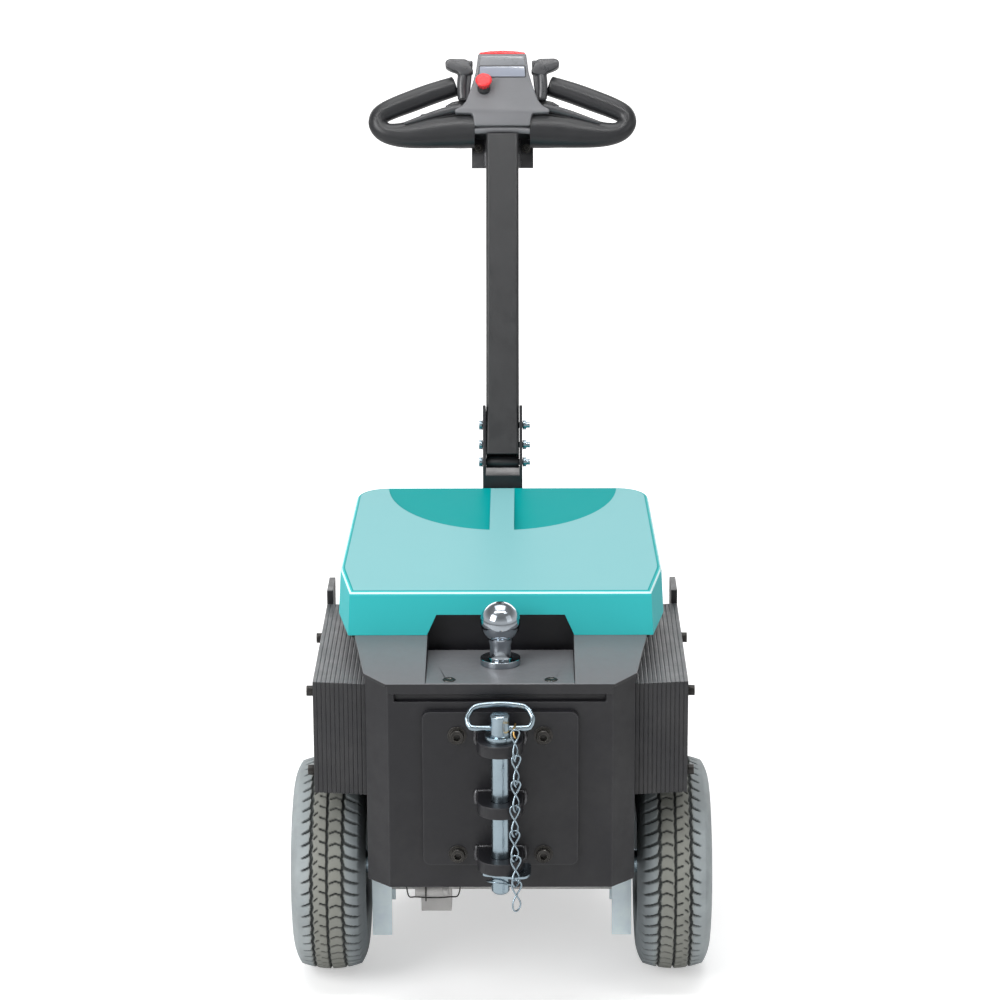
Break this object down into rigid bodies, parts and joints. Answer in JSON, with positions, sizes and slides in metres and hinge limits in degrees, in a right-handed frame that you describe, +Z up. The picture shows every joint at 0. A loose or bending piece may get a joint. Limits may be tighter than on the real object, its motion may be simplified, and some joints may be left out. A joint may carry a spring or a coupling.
{
  "type": "airport baggage tug",
  "caption": "Walk-behind battery tug with a tow ball, pin hitch, driven air-filled wheels, swivel castor and tilting tiller.",
  "frame": {"origin": "on the floor, at the middle of the plan bounding box", "axes": "+Z up, hitch faces -Y, operator and tiller at +Y, +X to the right as the hitch is faced from the front; X = 0 is the plane of symmetry"},
  "size_m": [0.5432, 0.927, 1.1008],
  "materials": {
    "painted_black": "satin powder coat",
    "ballast_paint": "satin paint",
    "zinc": "bright zinc plate",
    "dark_steel": "black oxide",
    "ball_chrome": "polished",
    "teal_cover": "gloss",
    "tyre_rubber": "worn grey rubber",
    "castor_rubber": "matte",
    "black_plastic": "fine grain",
    "red_plastic": "gloss",
    "display_window": "gloss",
    "motor_paint": "satin",
    "battery_case": "moulded"
  },
  "bodies": {
    "chassis": {"chassis_box": "painted_black", "top_deck": "painted_black", "ball_tray": "painted_black", "tray_screws": "zinc", "tow_ball": "ball_chrome", "hitch_plate": "painted_black", "hitch_screws": "dark_steel", "hitch_lugs": "painted_black", "tow_pin": "zinc", "pin_handle": "zinc", "pin_clip": "zinc", "pin_chain": "zinc", "battery": "battery_case", "castor_plate": "zinc", "tiller_bracket": "painted_black", "ballast_left": "ballast_paint", "ballast_bolts_left": "dark_steel", "ear_plate_left": "painted_black", "axle_left": "zinc", "axle_bracket_left": "zinc", "drive_motor_left": "motor_paint", "ballast_right": "ballast_paint", "ballast_bolts_right": "dark_steel", "ear_plate_right": "painted_black", "axle_right": "zinc", "axle_bracket_right": "zinc", "drive_motor_right": "motor_paint"},
    "wheel_left": {"tyre_left": "tyre_rubber", "rim_left": "zinc"},
    "wheel_right": {"tyre_right": "tyre_rubber", "rim_right": "zinc"},
    "castor": {"castor_fork": "zinc", "castor_axle": "zinc"},
    "castor_wheel": {"castor_tyre": "castor_rubber", "castor_hub": "black_plastic"},
    "tiller": {"tiller_tube": "painted_black", "clamp_bolts": "zinc", "head_plate": "painted_black", "head_console": "black_plastic", "stop_button": "red_plastic", "display": "display_window", "bumper": "red_plastic", "grip_loop_left": "black_plastic", "thumb_lever_left": "black_plastic", "grip_loop_right": "black_plastic", "thumb_lever_right": "black_plastic"},
    "hood": {"hood": "teal_cover"}
  },
  "joints": [
    {"name": "wheel_left_spin", "type": "hinge", "parent": "chassis", "child": "wheel_left", "pos_m": [-0.221, -0.214, 0.137], "axis": [1, 0, 0], "continuous": true},
    {"name": "wheel_right_spin", "type": "hinge", "parent": "chassis", "child": "wheel_right", "pos_m": [0.221, -0.214, 0.137], "axis": [1, 0, 0], "continuous": true},
    {"name": "castor_swivel", "type": "hinge", "parent": "chassis", "child": "castor", "pos_m": [0, 0.086, 0.1545], "axis": [0, 0, 1], "continuous": true},
    {"name": "castor_wheel_spin", "type": "hinge", "parent": "castor", "child": "castor_wheel", "pos_m": [0, 0.124, 0.0625], "axis": [1, 0, 0], "continuous": true},
    {"name": "tiller_tilt", "type": "hinge", "parent": "chassis", "child": "tiller", "pos_m": [0, 0.191, 0.559], "axis": [1, 0, 0], "range_deg": [-15, 15]},
    {"name": "hood_lift", "type": "slide", "parent": "chassis", "child": "hood", "axis": [0, 0, 1], "range_m": [0, 0.15]}
  ]
}
